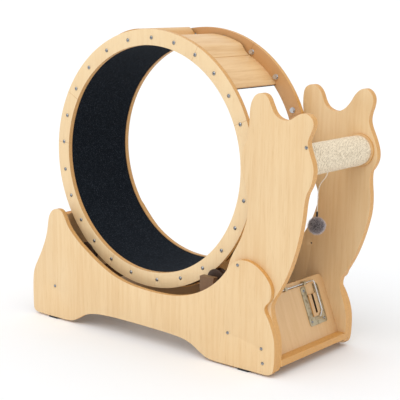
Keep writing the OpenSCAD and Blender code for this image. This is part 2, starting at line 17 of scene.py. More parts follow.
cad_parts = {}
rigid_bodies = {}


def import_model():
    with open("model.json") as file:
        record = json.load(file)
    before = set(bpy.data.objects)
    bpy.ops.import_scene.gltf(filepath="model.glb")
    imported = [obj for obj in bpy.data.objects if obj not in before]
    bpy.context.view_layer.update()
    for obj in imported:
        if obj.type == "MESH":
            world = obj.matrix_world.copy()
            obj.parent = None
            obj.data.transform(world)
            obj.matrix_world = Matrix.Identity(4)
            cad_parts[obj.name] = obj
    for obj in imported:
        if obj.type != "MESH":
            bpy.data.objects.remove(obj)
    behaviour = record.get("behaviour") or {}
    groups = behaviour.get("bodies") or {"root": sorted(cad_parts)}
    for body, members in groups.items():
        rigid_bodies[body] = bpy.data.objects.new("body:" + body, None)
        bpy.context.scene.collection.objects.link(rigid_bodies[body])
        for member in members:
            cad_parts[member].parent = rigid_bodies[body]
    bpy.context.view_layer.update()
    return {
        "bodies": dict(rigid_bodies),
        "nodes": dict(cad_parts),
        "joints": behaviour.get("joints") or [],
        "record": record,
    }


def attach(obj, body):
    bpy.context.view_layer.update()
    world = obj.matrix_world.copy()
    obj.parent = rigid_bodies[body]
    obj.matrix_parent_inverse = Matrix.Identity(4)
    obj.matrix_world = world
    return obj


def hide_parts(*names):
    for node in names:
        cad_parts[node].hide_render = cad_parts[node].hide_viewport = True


LOG = logging.getLogger("cat_wheel")

Colour = tuple[float, float, float]

# places and directions of the CAD frame that finishes and pieces refer to
AXLE = Vector((-0.077, 0.0, 0.553))
POST = Vector((0.459, 0.0, 0.604))
LATCH_SLOT = Vector((0.3704, 0.086, 0.143))
ACROSS = Vector((0.0, 1.0, 0.0))
UP = Vector((0.0, 0.0, 1.0))
BOARD_LEAN = math.radians(21.6)
BOARD_OUT = Vector((math.cos(BOARD_LEAN), 0.0, math.sin(BOARD_LEAN)))
BOARD_UP = Vector((-math.sin(BOARD_LEAN), 0.0, math.cos(BOARD_LEAN)))
TAIL_OUT = Vector((-0.9357, 0.0, 0.3528))
CROSS_GRAIN = (0.0, 1.0, 0.0)

# degrees above which an edge stays sharp, and how much more an eased corner has
CREASE = 26.0
EASE_OVER = 4.0
# metres within which two points are one
MERGE = 1e-6


class Layers(Enum):
    """The direction in which a plywood piece is built up from its plies."""

    AXLE = "along the wheel's axle"
    RADIAL = "outwards from the wheel's middle"
    BOARD = "out of the sloped end board"
    TAIL = "out of the sloped tail board"
    UPRIGHT = "upwards"


class Value:
    """An output socket of a material's graph that takes part in sums."""

    def __init__(self, graph: "Graph", socket: bpy.types.NodeSocket) -> None:
        """Wrap a socket.

        Args:
            graph: The graph that the socket belongs to.
            socket: The output socket.
        """
        self.graph = graph
        self.socket = socket

    def __add__(self, other: "Value | float") -> "Value":
        """Add a value or a number.

        Args:
            other: The value or the number.

        Returns:
            The sum.
        """
        return self.graph.math("ADD", self, other)

    def __radd__(self, other: float) -> "Value":
        """Add to a number.

        Args:
            other: The number.

        Returns:
            The sum.
        """
        return self.graph.math("ADD", other, self)

    def __sub__(self, other: "Value | float") -> "Value":
        """Take a value or a number away.

        Args:
            other: The value or the number.

        Returns:
            The difference.
        """
        return self.graph.math("SUBTRACT", self, other)

    def __rsub__(self, other: float) -> "Value":
        """Take away from a number.

        Args:
            other: The number.

        Returns:
            The difference.
        """
        return self.graph.math("SUBTRACT", other, self)

    def __mul__(self, other: "Value | float") -> "Value":
        """Multiply by a value or a number.

        Args:
            other: The value or the number.

        Returns:
            The product.
        """
        return self.graph.math("MULTIPLY", self, other)

    def __rmul__(self, other: float) -> "Value":
        """Multiply a number.

        Args:
            other: The number.

        Returns:
            The product.
        """
        return self.graph.math("MULTIPLY", other, self)

    def __truediv__(self, other: "Value | float") -> "Value":
        """Divide by a value or a number.

        Args:
            other: The value or the number.

        Returns:
            The quotient.
        """
        return self.graph.math("DIVIDE", self, other)

    def __rtruediv__(self, other: float) -> "Value":
        """Divide a number.

        Args:
            other: The number.

        Returns:
            The quotient.
        """
        return self.graph.math("DIVIDE", other, self)


class Graph:
    """The node graph of one material, around a single Principled shader."""

    def __init__(self, name: str) -> None:
        """Start an empty material.

        Args:
            name: The material's name.
        """
        self.material = bpy.data.materials.new(name)
        self.material.use_nodes = True
        self.tree = self.material.node_tree
        self.tree.nodes.clear()
        output = self.tree.nodes.new("ShaderNodeOutputMaterial")
        self.shader = self.tree.nodes.new("ShaderNodeBsdfPrincipled")
        self.tree.links.new(self.shader.outputs["BSDF"], output.inputs["Surface"])
        place = self.tree.nodes.new("ShaderNodeTexCoord")
        self.place = Value(self, place.outputs["Object"])
        self.normal = Value(self, place.outputs["Normal"])

    def feed(self, socket: bpy.types.NodeSocket, value: object) -> None:
        """Link a value to an input, or set the input's own number.

        Args:
            socket: The input socket.
            value: A wrapped socket, a number, a vector or a colour.
        """
        if isinstance(value, Value):
            self.tree.links.new(value.socket, socket)
        elif isinstance(value, (tuple, list, Vector)):
            parts = list(value)
            size = len(socket.default_value)
            socket.default_value = parts + [1.0] * (size - len(parts))
        else:
            socket.default_value = value

    def node(
        self,
        kind: str,
        inputs: dict[str | int, object],
        output: str | int = 0,
        **settings: object,
    ) -> Value:
        """Add any node.

        Args:
            kind: The node's type, without its ShaderNode prefix.
            inputs: Values for its inputs, by name or place.
            output: The output to take.
            settings: The node's own properties.

        Returns:
            The wrapped output.
        """
        made = self.tree.nodes.new("ShaderNode" + kind)
        for key, value in settings.items():
            setattr(made, key, value)
        for key, value in inputs.items():
            self.feed(made.inputs[key], value)
        return Value(self, made.outputs[output])

    def math(self, operation: str, *values: object, clamp: bool = False) -> Value:
        """Do one sum on numbers.

        Args:
            operation: The name of the Math node's operation.
            values: Its one to three inputs.
            clamp: Whether the result stays between 0 and 1.

        Returns:
            The result.
        """
        return self.node(
            "Math", dict(enumerate(values)), operation=operation, use_clamp=clamp
        )

    def vector(
        self, operation: str, *values: object, output: str | int = 0
    ) -> Value:
        """Do one sum on vectors.

        Args:
            operation: The name of the Vector Math node's operation.
            values: Its vector inputs.
            output: The output to take.

        Returns:
            The result.
        """
        return self.node(
            "VectorMath", dict(enumerate(values)), output, operation=operation
        )

    def along(self, vector: Value, direction: Value | Vector) -> Value:
        """Measure a vector along a direction.

        Args:
            vector: The vector.
            direction: The direction, of length 1.

        Returns:
            The length of the vector's share in that direction.
        """
        return self.vector("DOT_PRODUCT", vector, direction, output="Value")

    def mix(self, share: Value | float, first: object, second: object) -> Value:
        """Blend two colours.

        Args:
            share: How much of the second colour, from 0 to 1.
            first: The colour at 0.
            second: The colour at 1.

        Returns:
            The blended colour.
        """
        return self.node(
            "Mix", {0: share, 6: first, 7: second}, 2, data_type="RGBA"
        )

    def tinted(self, share: Value | float, colour: object, tint: object) -> Value:
        """Multiply a colour by a tint.

        Args:
            share: How strong the tint is, from 0 to 1.
            colour: The colour.
            tint: What it is multiplied by.

        Returns:
            The tinted colour.
        """
        return self.node(
            "Mix",
            {0: share, 6: colour, 7: tint},
            2,
            data_type="RGBA",
            blend_type="MULTIPLY",
        )

    def noise(
        self, place: Value, scale: float, detail: float = 3.0, rough: float = 0.5
    ) -> Value:
        """Read a cloud pattern from 0 to 1.

        Args:
            place: Where to read it.
            scale: Features per metre.
            detail: Octaves.
            rough: How strong the fine octaves are.

        Returns:
            The pattern's height.
        """
        return self.node(
            "TexNoise",
            {"Vector": place, "Scale": scale, "Detail": detail, "Roughness": rough},
        )

    def ramp(self, value: Value | float, low: float, high: float) -> Value:
        """Stretch a range of a value to 0 to 1, smoothly.

        Args:
            value: The value.
            low: What becomes 0.
            high: What becomes 1.

        Returns:
            The stretched value.
        """
        return self.node(
            "MapRange",
            {"Value": value, "From Min": low, "From Max": high},
            interpolation_type="SMOOTHSTEP",
        )

    def bump(self, height: Value, depth: float, strength: float = 1.0) -> None:
        """Give the surface a relief.

        Args:
            height: The relief, from 0 to 1.
            depth: Its depth in metres.
            strength: How much of it is seen.
        """
        relief = self.node(
            "Bump", {"Height": height, "Distance": depth, "Strength": strength}
        )
        self.feed(self.shader.inputs["Normal"], relief)

    def surface(self, **inputs: object) -> bpy.types.Material:
        """Set the shader's inputs and give the material.

        Args:
            inputs: Values by the input's name, with _ for a space.

        Returns:
            The finished material.
        """
        for key, value in inputs.items():
            self.feed(self.shader.inputs[key.replace("_", " ")], value)
        return self.material


@dataclass(frozen=True)
class Plywood:
    """Clear coated plywood: veneer faces with grain, and edges with their plies."""

    name: str
    light: Colour = (0.785, 0.575, 0.325)
    dark: Colour = (0.69, 0.45, 0.215)
    edge_light: Colour = (0.82, 0.46, 0.15)
    edge_dark: Colour = (0.54, 0.26, 0.06)
    grain: tuple[float, float, float] = (0.0, 0.0, 1.0)
    layers: Layers = Layers.AXLE
    ply: float = 0.0016
    figure: float = 0.45
    roughness: float = 0.42
    joints: tuple[float, ...] = ()
    # painted shade: a darker colour for the faces that look towards the near side,
    # which lie in the frame's shade
    inward_shade: Colour | None = None
    # painted shade: near black on the latch slot's walls, for the shade in the deep
    # slot
    shades_slot: bool = False
    stretch: float = 0.95
    pore_tint: Colour = (0.74, 0.62, 0.48)
    edge_tint: Colour = (0.7, 0.6, 0.5)
    glue_tint: Colour = (0.62, 0.42, 0.24)
    slot_shade_colour: Colour = (0.012, 0.008, 0.005)

    def radius(self, graph: Graph) -> tuple[Value, Value]:
        """Measure the place from the wheel's axle.

        Args:
            graph: The material's graph.

        Returns:
            The direction outwards and the radius.
        """
        offset = graph.vector("SUBTRACT", graph.place, AXLE)
        flat = graph.vector("MULTIPLY", offset, (1.0, 0.0, 1.0))
        out = graph.vector("NORMALIZE", flat)
        return out, graph.vector("LENGTH", flat, output="Value")

    def depth(self, graph: Graph) -> tuple[Value, Value]:
        """Find how the plies lie at a place.

        Args:
            graph: The material's graph.

        Returns:
            The place across the plies in metres, and how much the surface faces
            along them.
        """
        if self.layers is Layers.RADIAL:
            out, radius = self.radius(graph)
            facing = graph.along(graph.normal, out)
            return radius, graph.math("ABSOLUTE", facing)
        across = {
            Layers.AXLE: ACROSS,
            Layers.BOARD: BOARD_OUT,
            Layers.TAIL: TAIL_OUT,
            Layers.UPRIGHT: UP,
        }[self.layers]
        facing = graph.along(graph.normal, across)
        return graph.along(graph.place, across), graph.math("ABSOLUTE", facing)

    def veneer(self, graph: Graph) -> tuple[Value, Value, Value]:
        """Draw the grain of a face.

        Args:
            graph: The material's graph.

        Returns:
            The face's colour, and the patterns of its bands and its pores.
        """
        grain = Vector(self.grain)
        run = graph.along(graph.place, grain)
        grain_way = graph.node("CombineXYZ", {0: run, 1: run, 2: run})
        fibre = graph.vector("MULTIPLY", grain_way, grain * self.stretch)
        place = graph.vector("SUBTRACT", graph.place, fibre)
        broad = graph.noise(place, 8.0, 2.0)
        bands = graph.noise(place, 90.0, 4.0, 0.6)
        pores = graph.noise(place, 420.0, 3.0, 0.6)
        blotch = graph.noise(graph.place, 5.0, 2.0)
        tone = (
            graph.ramp(broad, 0.35, 0.68) * 0.28
            + graph.ramp(bands, 0.38, 0.66) * self.figure
            + graph.ramp(blotch, 0.35, 0.7) * 0.25
        )
        share = graph.math("MULTIPLY", tone, 0.8, clamp=True)
        face = graph.mix(share, self.light, self.dark)
        pored = graph.ramp(pores, 0.55, 0.75) * 0.35
        return graph.tinted(pored, face, self.pore_tint), bands, pores

    def plies(self, graph: Graph, across: Value) -> Value:
        """Draw the plies on an edge.

        Args:
            graph: The material's graph.
            across: The place across the plies in metres.

        Returns:
            The edge's colour.
        """
        wobble = graph.noise(graph.place, 30.0, 1.0) * 0.0004
        turns = (across + wobble) / (2.0 * self.ply)
        ply = graph.ramp(graph.math("PINGPONG", turns, 0.5) * 2.0, 0.4, 0.6)
        edge = graph.mix(ply, self.edge_light, self.edge_dark)
        rough = graph.ramp(graph.noise(graph.place, 160.0, 3.0), 0.4, 0.7) * 0.3
        return graph.tinted(rough, edge, self.edge_tint)

    def painted_slot_shade(self, graph: Graph, colour: Value, facing: Value) -> Value:
        """Paint the walls of the latch's slot near black, as painted shade in the deep
        slot.

        Args:
            graph: The material's graph.
            colour: The wood's colour.
            facing: How much the surface faces along the plies.

        Returns:
            The colour with its dark walls.
        """
        offset = graph.vector("SUBTRACT", graph.place, LATCH_SLOT)
        flat = graph.vector("MULTIPLY", offset, (1.0, 3.0, 1.0))
        reach = graph.vector("LENGTH", flat, output="Value")
        near = 1.0 - graph.ramp(reach, 0.030, 0.036)
        wall = 1.0 - graph.ramp(facing, 0.3, 0.6)
        return graph.mix(near * wall, colour, self.slot_shade_colour)

    def build(self) -> bpy.types.Material:
        """Make the material.

        Returns:
            The finished material.
        """
        graph = Graph(self.name)
        face, bands, pores = self.veneer(graph)
        across, facing = self.depth(graph)
        edge = self.plies(graph, across)
        colour = graph.mix(graph.ramp(facing, 0.45, 0.75), edge, face)
        # Painted shade on the walls of the latch's slot.
        if self.shades_slot:
            colour = self.painted_slot_shade(graph, colour, facing)
        # Painted shade: faces that look towards the near side are blended towards a
        # darker colour, for the shade inside the frame.
        if self.inward_shade:
            towards = graph.ramp(graph.along(graph.normal, -ACROSS), 0.5, 0.8)
            colour = graph.mix(towards * 0.85, colour, self.inward_shade)
        if self.joints:
            colour = self.glued(graph, colour)
        graph.bump(pores * 0.6 + bands * 0.4, 0.00025, 0.5)
        return graph.surface(
            Base_Color=colour,
            Roughness=graph.ramp(pores, 0.3, 0.8) * 0.12 + self.roughness,
            Coat_Weight=0.12,
            Coat_Roughness=0.3,
        )

    def glued(self, graph: Graph, colour: Value) -> Value:
        """Draw the glue lines where a ring is joined from its parts.

        Args:
            graph: The material's graph.
            colour: The wood's colour.

        Returns:
            The colour with its joints.
        """
        offset = graph.vector("SUBTRACT", graph.place, AXLE)
        for turn in self.joints:
            angle = math.radians(90 - turn)
            along = Vector((math.cos(angle), 0, math.sin(angle)))
            side = Vector((-math.sin(angle), 0, math.cos(angle)))
            near = graph.math("ABSOLUTE", graph.along(offset, side))
            line = (1.0 - graph.ramp(near, 0.0004, 0.0012)) * graph.ramp(
                graph.along(offset, along), 0.0, 0.01
            )
            colour = graph.tinted(line * 0.55, colour, self.glue_tint)
        return colour


@dataclass(frozen=True)
class Steel:
    """Plated or bright steel, with the small stains that handling leaves; on the dull
    steel the dark base and near black mottle are partly a dark steel and partly painted
    dark reflection.
    """

    name: str
    colour: Colour = (0.62, 0.62, 0.64)
    stain_and_dark_reflection: Colour = (0.36, 0.34, 0.30)
    stain_and_reflection_share: float = 0.25
    roughness: float = 0.28
    scale: float = 90.0

    def build(self) -> bpy.types.Material:
        """Make the material.

        Returns:
            The finished material.
        """
        graph = Graph(self.name)
        clouds = graph.noise(graph.place, self.scale, 5.0, 0.6)
        grit = graph.noise(graph.place, 1400.0, 3.0, 0.6)
        stain_and_dark_reflection = graph.ramp(clouds, 0.45, 0.7)
        graph.bump(grit, 0.00012, 0.4)
        return graph.surface(
            # the stain mix: handling stains and tarnish on the plated steel and zinc;
            # on the dull steel, painted dark reflection
            Base_Color=graph.mix(stain_and_dark_reflection * self.stain_and_reflection_share, self.colour, self.stain_and_dark_reflection),
            Metallic=1.0,
            Roughness=stain_and_dark_reflection * 0.2 + (grit * 0.1 + self.roughness),
        )


@dataclass(frozen=True)
class Moulding:
    """Moulded rubber or plastic with a faint grain."""

    name: str
    colour: Colour = (0.012, 0.012, 0.013)
    roughness: float = 0.55
    dust: float = 0.3
    worn_gain: float = 1.8
    worn_lift: float = 0.012

    def build(self) -> bpy.types.Material:
        """Make the material.

        Returns:
            The finished material.
        """
        graph = Graph(self.name)
        clouds = graph.noise(graph.place, 60.0, 4.0)
        grit = graph.noise(graph.place, 900.0, 2.0)
        worn = tuple(
            min(1.0, part * self.worn_gain + self.worn_lift) for part in self.colour
        )
        graph.bump(grit, 0.0001, 0.5)
        dusty = graph.ramp(clouds, 0.5, 0.8) * self.dust
        return graph.surface(
            Base_Color=graph.mix(dusty, self.colour, worn),
            Roughness=clouds * 0.15 + self.roughness,
        )


@dataclass(frozen=True)
class Felt:
    """Short dark needle felt, with paler fibres in it."""

    name: str = "track_felt"
    dark: Colour = (0.0038, 0.0060, 0.0095)
    light: Colour = (0.046, 0.056, 0.070)
    mat_tint: Colour = (0.6, 0.62, 0.66)
    sheen: Colour = (0.45, 0.5, 0.6)

    def build(self) -> bpy.types.Material:
        """Make the material.

        Returns:
            The finished material.
        """
        graph = Graph(self.name)
        matted = graph.noise(graph.place, 45.0, 4.0, 0.6)
        tufts = graph.noise(graph.place, 260.0, 4.0, 0.75)
        fibres = graph.noise(graph.place, 1500.0, 2.0, 0.6)
        share = graph.ramp(tufts, 0.50, 0.66) * 0.7 + graph.ramp(fibres, 0.5, 0.7) * 0.3
        colour = graph.mix(share, self.dark, self.light)
        mats = graph.ramp(matted, 0.45, 0.7) * 0.5
        colour = graph.tinted(mats, colour, self.mat_tint)
        graph.bump(tufts * 0.6 + fibres * 0.4, 0.0015, 0.8)
        return graph.surface(
            Base_Color=colour,
            Roughness=0.95,
            Sheen_Weight=0.04,
            Sheen_Roughness=0.6,
            Sheen_Tint=self.sheen,
            Specular_IOR_Level=0.05,
        )


@dataclass(frozen=True)
class Sisal:
    """Woven sisal, its yarns crossing aslant round the post."""

    name: str = "woven_sisal"
    light: Colour = (0.90, 0.78, 0.59)
    dark: Colour = (0.38, 0.28, 0.16)
    pitch: float = 0.0080

    def build(self) -> bpy.types.Material:
        """Make the material.

        Returns:
            The finished material.
        """
        graph = Graph(self.name)
        uv = graph.node("UVMap", {}, uv_map="weave")
        run = graph.node("SeparateXYZ", {0: uv}, 0)
        lap = graph.node("SeparateXYZ", {0: uv}, 1)
        loose = graph.noise(graph.place, 120.0, 2.0) * 0.5
        turn = 2 * math.pi / self.pitch
        warp = graph.math("SINE", (run + lap) * turn + loose * 3.0)
        weft = graph.math("SINE", (run - lap * 0.8) * turn + loose * 3.0)
        yarn = graph.ramp(warp * 0.5 + weft * 0.5, -0.9, 0.9)
        fibres = graph.noise(graph.place, 210.0, 4.0, 0.8)
        fuzz = graph.ramp(fibres, 0.40, 0.60)
        shade = graph.ramp(yarn * 0.5 + fuzz * 0.5, 0.05, 0.62)
        graph.bump(yarn * 0.75 + fibres * 0.35, 0.0009, 0.7)
        return graph.surface(
            Base_Color=graph.mix(shade, self.dark, self.light),
            Roughness=0.88,
            Sheen_Weight=0.15,
            Sheen_Roughness=0.5,
            Specular_IOR_Level=0.25,
        )


@dataclass(frozen=True)
class Yarn:
    """Pale twisted string."""

    name: str = "pale_string"
    light: Colour = (0.97, 0.94, 0.88)
    dark: Colour = (0.74, 0.69, 0.60)

    def build(self) -> bpy.types.Material:
        """Make the material.

        Returns:
            The finished material.
        """
        graph = Graph(self.name)
        fibres = graph.noise(graph.place, 2600.0, 3.0, 0.6)
        graph.bump(fibres, 0.0002, 0.7)
        return graph.surface(
            Base_Color=graph.mix(graph.ramp(fibres, 0.35, 0.65), self.dark, self.light),
            Roughness=0.85,
            Sheen_Weight=0.3,
        )


@dataclass(frozen=True)
class Fur:
    """Grey fur, darker at its roots."""

    name: str = "grey_fur"
    root: Colour = (0.10, 0.088, 0.092)
    tip: Colour = (0.74, 0.68, 0.70)
    lock_tint: Colour = (0.42, 0.40, 0.42)
    centre: tuple[float, float, float] = (0.0, 0.0, 0.0)
    inner: float = 0.018
    outer: float = 0.027

    def build(self) -> bpy.types.Material:
        """Make the material.

        Returns:
            The finished material.
        """
        graph = Graph(self.name)
        offset = graph.vector("SUBTRACT", graph.place, self.centre)
        radius = graph.vector("LENGTH", offset, output="Value")
        locks = graph.noise(graph.place, 240.0, 3.0, 0.6)
        share = graph.ramp(radius, self.inner, self.outer)
        colour = graph.mix(share, self.root, self.tip)
        shaded = graph.ramp(locks, 0.42, 0.62) * 0.6
        colour = graph.tinted(shaded, colour, self.lock_tint)
        return graph.surface(
            Base_Color=colour,
            Roughness=0.8,
            Sheen_Weight=0.4,
            Sheen_Roughness=0.4,
            Specular_IOR_Level=0.3,
        )


def wear(piece: bpy.types.Object, material: bpy.types.Material) -> None:
    """Put one material on a piece.

    Args:
        piece: The piece or CAD node.
        material: Its finish.
    """
    piece.data.materials.clear()
    piece.data.materials.append(material)


def finished(
    name: str,
    mesh: bmesh.types.BMesh,
    material: bpy.types.Material,
    crease: float = CREASE,
) -> bpy.types.Object:
    """Turn a bmesh into a piece of the scene with smooth faces and crisp corners.

    Args:
        name: The piece's name.
        mesh: The modelled mesh, which is freed.
        material: The piece's finish.
        crease: The angle in degrees above which an edge stays sharp.

    Returns:
        The new piece.
    """
    data = bpy.data.meshes.new(name)
    mesh.to_mesh(data)
    mesh.free()
    data.shade_smooth()
    data.set_sharp_from_angle(angle=math.radians(crease))
    piece = bpy.data.objects.new(name, data)
    bpy.context.scene.collection.objects.link(piece)
    wear(piece, material)
    return piece


@dataclass
class Assembly:
    """A group of pieces of the object that one body of the frame carries."""

    frame: dict
    body: str = "frame"
    made: list[str] = field(default_factory=list)

    def note(self, piece: bpy.types.Object, slot: str, *nodes: str) -> bpy.types.Object:
        """Seat a new piece on its body and in the place of its CAD nodes.

        Args:
            piece: The new piece.
            slot: The record's material slot; not used.
            nodes: The CAD nodes that it stands for.

        Returns:
            The same piece.
        """
        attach(piece, self.body)
        if nodes:
            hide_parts(*nodes)
        self.made.append(piece.name)
        LOG.info("made %s on %s", piece.name, self.body)
        return piece

    def paint(self, material: bpy.types.Material, *nodes: str) -> None:
        """Give CAD nodes a finish.

        Args:
            material: The finish.
            nodes: The nodes that wear it.
        """
        for node in nodes:
            wear(self.frame["nodes"][node], material)
            self.made.append(node)
            LOG.info("dressed %s", node)

    def eased(
        self,
        node: str,
        slot: str,
        material: bpy.types.Material,
        width: float = 0.0015,
        segments: int = 2,
        crease: float = CREASE,
    ) -> bpy.types.Object:
        """Copy a CAD node with its sharp corners eased, and show the copy.

        Args:
            node: The CAD node.
            slot: The record's material slot.
            material: The finish.
            width: The width of the eased corner.
            segments: Faces across the corner.
            crease: The angle in degrees above which an edge is a corner.

        Returns:
            The eased piece.
        """
        mesh = bmesh.new()
        mesh.from_mesh(self.frame["nodes"][node].data)
        bmesh.ops.remove_doubles(mesh, verts=mesh.verts, dist=MERGE)
        bmesh.ops.dissolve_limit(
            mesh,
            angle_limit=math.radians(0.4),
            verts=mesh.verts,
            edges=mesh.edges,
            delimit={"NORMAL"},
        )
        corners = [
            edge
            for edge in mesh.edges
            if len(edge.link_faces) == 2
            and edge.calc_face_angle(0.0) > math.radians(crease + EASE_OVER)
        ]
        bmesh.ops.bevel(
            mesh,
            geom=corners,
            offset=width,
            offset_type="OFFSET",
            segments=segments,
            profile=0.5,
            affect="EDGES",
            clamp_overlap=True,
            material=-1,
        )
        bmesh.ops.triangulate(
            mesh, faces=[face for face in mesh.faces if len(face.verts) > 4]
        )
        piece = finished(node + "_eased", mesh, material, crease)
        return self.note(piece, slot, node)


@dataclass
class SideFrames(Assembly):
    """The base panels, the head panels and the boards between them."""

    panel_corner: float = 0.0016
    strip_corner: float = 0.001
    block_corner: float = 0.0008
    foot_corner: float = 0.0006

    def build(self) -> None:
        """Dress the panels, boards, rails, blocks and feet."""
        panel = Plywood("panel_plywood").build()
        # Painted shade: the far base panel's inner face is darkened to a deep brown for
        # the shade inside the frame under the wheel.
        inner = Plywood("far_panel_shaded_plywood", inward_shade=(0.36, 0.19, 0.07)).build()
        # The end board carries the painted shade on the latch slot's walls.
        board = Plywood(
            "end_board_plywood", layers=Layers.BOARD, grain=tuple(BOARD_UP), shades_slot=True,
            light=(0.77, 0.51, 0.265), dark=(0.66, 0.405, 0.175),
        ).build()
        strip = Plywood(
            "batten_wood", grain=CROSS_GRAIN, figure=0.6,
            light=(0.92, 0.66, 0.33), dark=(0.80, 0.50, 0.20),
        ).build()
        # Painted shade: the cross rails and axle blocks get a near black-brown wood
        # colour for the shade inside the frame under the wheel.
        shaded_block = Plywood(
            "block_wood", grain=CROSS_GRAIN, layers=Layers.UPRIGHT,
            light=(0.20, 0.10, 0.038), dark=(0.11, 0.052, 0.019),
            edge_light=(0.19, 0.095, 0.035), edge_dark=(0.12, 0.056, 0.020),
        ).build()
        for node in ("near_base_panel", "near_head_panel", "far_head_panel"):
            self.eased(node, "panel_plywood", panel, self.panel_corner)
        self.eased("far_base_panel", "panel_plywood", inner, self.panel_corner)
        self.eased("end_board", "board_wood", board, self.panel_corner)
        self.eased("bottom_batten", "board_wood", strip, self.strip_corner)
        tail = Plywood(
            "tail_board_plywood", layers=Layers.TAIL, grain=CROSS_GRAIN
        ).build()
        self.eased("tail_board", "board_wood", tail, self.strip_corner)
        for node in ("tail_cross_rail", "head_cross_rail", "axle_blocks"):
            self.eased(node, "block_wood", shaded_block, self.block_corner)
        rubber = Moulding("foot_rubber").build()
        self.eased("rubber_feet", "foot_rubber", rubber, self.foot_corner)


@dataclass
class RunningWheel(Assembly):
    """The rings, the bent hoop with its slats, and the felt track."""

    body: str = "wheel"
    felt_radius: float = 0.344
    felt_back: float = 0.348
    track_half: float = 0.127
    gap_from: float = 49.6
    gap_sweep: float = 27.7
    felt_rows: int = 24
    felt_steps: int = 240
    felt_droop: float = 0.0009
    ring_corner: float = 0.0022
    skin_corner: float = 0.0006

    def build(self) -> None:
        """Dress the wheel."""
        ring = Plywood(
            "ring_plywood", ply=0.0021, figure=0.25,
            joints=(28.0, 67.5, 205.0, 274.0, 299.0),
            light=(0.82, 0.625, 0.37), dark=(0.73, 0.50, 0.26),
        ).build()
        skin = Plywood(
            "slat_plywood", grain=CROSS_GRAIN, layers=Layers.RADIAL,
            ply=0.001, figure=0.6,
            light=(0.81, 0.54, 0.27), dark=(0.65, 0.38, 0.155),
        ).build()
        # Painted shade: the far ring's face towards the near side is darkened to a
        # honey brown for the shade under the skin and the near ring.
        far_ring_shaded = Plywood(
            "far_ring_shaded_plywood", ply=0.0021, joints=(28.0, 67.5, 205.0),
            light=(0.83, 0.64, 0.39), dark=(0.72, 0.50, 0.27),
            inward_shade=(0.50, 0.235, 0.07),
        ).build()
        self.eased("near_ring", "ring_plywood", ring, self.ring_corner)
        self.eased("far_ring", "ring_plywood", far_ring_shaded, self.ring_corner)
        self.eased("track_hoop", "hoop_plywood", skin, self.skin_corner)
        self.eased("track_slats", "slat_plywood", skin, self.skin_corner)
        self.felt()

    def felt(self) -> None:
        """Lay the felt strip inside the hoop, with its edges rounded off."""
        mesh = bmesh.new()
        half = self.track_half
        rows = self.felt_rows
        profile = [Vector((self.felt_back, -half, 0))]
        for step in range(rows + 1):
            across = -half + 2 * half * step / rows
            droop = self.felt_droop * (abs(across) / half) ** 12
            profile.append(Vector((self.felt_radius + droop, across, 0)))
        profile.append(Vector((self.felt_back, half, 0)))
        verts = [mesh.verts.new(point) for point in profile]
        edges = [mesh.edges.new((a, b)) for a, b in zip(verts, verts[1:] + verts[:1])]
        start = math.radians(90 - self.gap_from)
        sweep = math.radians(360 - self.gap_sweep)
        turned = Matrix.Rotation(-start, 4, "Y")
        bmesh.ops.transform(mesh, matrix=turned, verts=mesh.verts)
        ends = bmesh.ops.spin(
            mesh, geom=verts + edges, cent=(0, 0, 0), axis=(0, -1, 0), angle=sweep,
            steps=self.felt_steps, use_duplicate=False, use_merge=False,
        )["geom_last"]
        bmesh.ops.edgenet_fill(mesh, edges=edges)
        bmesh.ops.edgenet_fill(
            mesh, edges=[part for part in ends if isinstance(part, bmesh.types.BMEdge)]
        )
        bmesh.ops.translate(mesh, vec=AXLE, verts=mesh.verts)
        bmesh.ops.recalc_face_normals(mesh, faces=mesh.faces)
        piece = finished("felt_track", mesh, Felt().build(), 40.0)
        self.note(piece, "carpet", "carpet_liner")


@dataclass
class Fasteners(Assembly):
    """Bolts, nuts, screws and axles."""

    def build(self) -> None:
        """Dress the fasteners."""
        plated = Steel(
            "plated_steel", colour=(0.60, 0.60, 0.62), roughness=0.22
        ).build()
        # Dull steel: partly a dark steel colour, partly painted dark reflection, its
        # near black mottle standing in for the dark surroundings the screw heads would
        # mirror.
        dull = Steel(
            "dull_steel", colour=(0.33, 0.34, 0.36), stain_and_dark_reflection=(0.02, 0.02, 0.02),
            stain_and_reflection_share=1.0, roughness=0.1, scale=420.0,
        ).build()
        sleeve = Moulding("sleeve_plastic", (0.05, 0.05, 0.052)).build()
        self.paint(
            plated, "far_ring_bolts", "near_ring_nuts", "far_ring_nuts",
            "tail_axle", "head_axle",
        )
        self.paint(
            dull, "near_ring_bolts", "panel_screws", "post_bolts", "latch_screws"
        )
        self.paint(sleeve, "axle_sleeves")


@dataclass
class Rollers(Assembly):
    """The four grooved rollers under the wheel."""

    corner: float = 0.0006

    def build(self) -> None:
        """Dress the rollers, each on its own body."""
        rubber = Moulding("roller_rubber", (0.045, 0.020, 0.009), 0.5).build()
        for end in ("tail", "head"):
            for side in ("near", "far"):
                name = f"{end}_{side}_roller"
                self.body = name + "_body"
                self.eased(name, "roller_rubber", rubber, self.corner)


